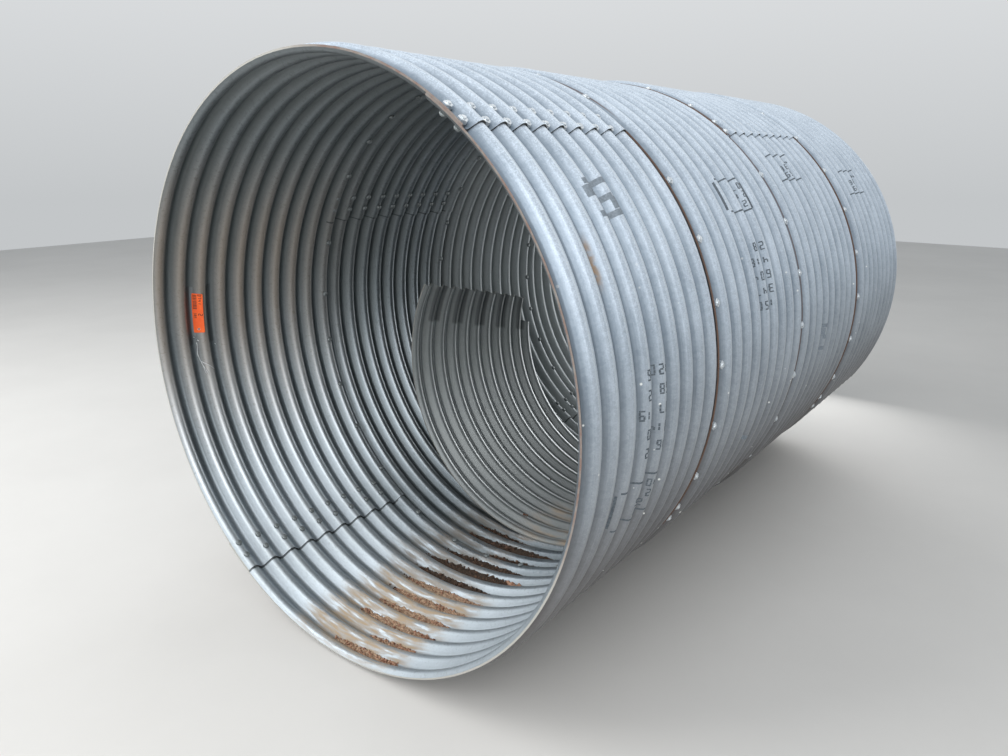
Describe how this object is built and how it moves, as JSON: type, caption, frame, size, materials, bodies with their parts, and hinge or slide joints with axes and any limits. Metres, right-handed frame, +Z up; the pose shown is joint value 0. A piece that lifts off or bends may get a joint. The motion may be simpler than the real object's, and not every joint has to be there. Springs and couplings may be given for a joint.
{
  "type": "corrugated steel culvert",
  "caption": "Round culvert bolted from curved, corrugated galvanised plates that lap over each other, with spare plates lying nested inside it.",
  "frame": {"origin": "on the ground under the middle of the pipe", "axes": "+Z up, +Y along the pipe from the end with the tag to the other end, +X to the right of someone who looks in at the end with the tag"},
  "size_m": [1.7466, 2.7813, 1.7466],
  "materials": {
    "galvanised_plate": "weathered hot-dip zinc, dull grey with a faint blue",
    "spare_plate": "weathered hot-dip zinc with dried mud",
    "tag": "faded orange"
  },
  "bodies": {
    "root": {"ring_1_upper_plate": "galvanised_plate", "ring_1_lower_plate": "galvanised_plate", "ring_2_right_plate": "galvanised_plate", "ring_2_left_plate": "galvanised_plate", "ring_3_upper_plate": "galvanised_plate", "ring_3_lower_plate": "galvanised_plate", "ring_4_right_plate": "galvanised_plate", "ring_4_left_plate": "galvanised_plate", "upper_spare_plate": "spare_plate", "lower_spare_plate": "spare_plate", "tag": "tag"}
  },
  "joints": []
}
